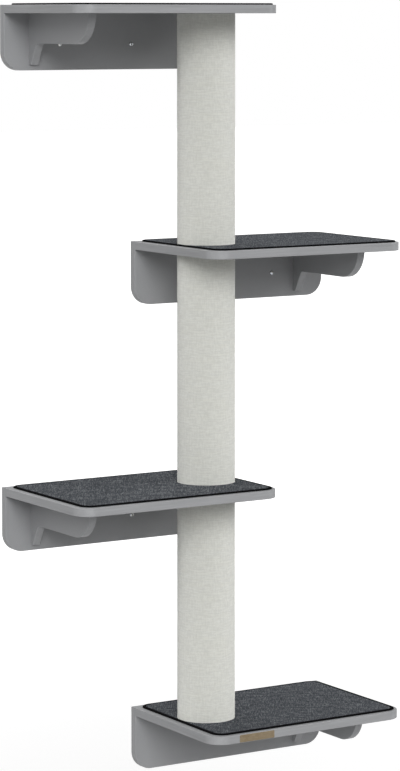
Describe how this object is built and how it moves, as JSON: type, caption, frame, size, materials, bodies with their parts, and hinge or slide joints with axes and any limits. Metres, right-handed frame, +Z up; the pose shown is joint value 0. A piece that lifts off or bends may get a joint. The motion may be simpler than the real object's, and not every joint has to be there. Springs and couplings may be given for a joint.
{
  "type": "wall mounted cat tree",
  "caption": "Tall cat tree of staggered shelves that screw to a wall, with sisal covered posts between them, dark mats on top and a side bracket under each shelf.",
  "frame": {"origin": "on the wall's face, at the back of the lowest wall plate, straight behind the posts' common axis and at the height of that plate's two wall screw holes", "axes": "+Z up along the wall, +Y into the wall, so the tree stands out towards -Y, and +X to the right along the wall when it is seen from the room"},
  "size_m": [0.818, 0.3468, 1.6974],
  "materials": {
    "painted_board": "matt mid-grey foil or paint on 18 mm board",
    "mat_felt": "dark slate-grey looped carpet felt",
    "edging_tape": "near-black bound edge",
    "sisal_weave": "off-white woven sisal, finely ribbed",
    "tube_board": "wound brown board",
    "plain_wood": "unfinished",
    "zinc_steel": "bright zinc",
    "bronze_plate": "brushed dark bronze, bare"
  },
  "bodies": {
    "root": {"shelf_board_1": "painted_board", "wall_plate_1": "painted_board", "bracket_1": "painted_board", "mat_1": "mat_felt", "mat_edging_1": "edging_tape", "shelf_board_2": "painted_board", "wall_plate_2": "painted_board", "bracket_2": "painted_board", "mat_2": "mat_felt", "mat_edging_2": "edging_tape", "shelf_board_3": "painted_board", "wall_plate_3": "painted_board", "bracket_3": "painted_board", "mat_3": "mat_felt", "mat_edging_3": "edging_tape", "shelf_board_4": "painted_board", "wall_plate_4": "painted_board", "bracket_4": "painted_board", "mat_4": "mat_felt", "mat_edging_4": "edging_tape", "post_tube_1": "tube_board", "sisal_sleeve_1": "sisal_weave", "post_bottom_disc_1": "plain_wood", "post_top_disc_1": "plain_wood", "post_tube_2": "tube_board", "sisal_sleeve_2": "sisal_weave", "post_bottom_disc_2": "plain_wood", "post_top_disc_2": "plain_wood", "post_tube_3": "tube_board", "sisal_sleeve_3": "sisal_weave", "post_bottom_disc_3": "plain_wood", "post_top_disc_3": "plain_wood", "threaded_inserts": "zinc_steel", "joining_studs": "zinc_steel", "top_bolt": "zinc_steel", "bottom_bolt": "zinc_steel", "bottom_washer": "zinc_steel", "shelf_screws": "zinc_steel", "bracket_back_screws": "zinc_steel", "bracket_top_screws": "zinc_steel", "shelf_dowels": "plain_wood", "edge_plate": "bronze_plate"}
  },
  "joints": []
}
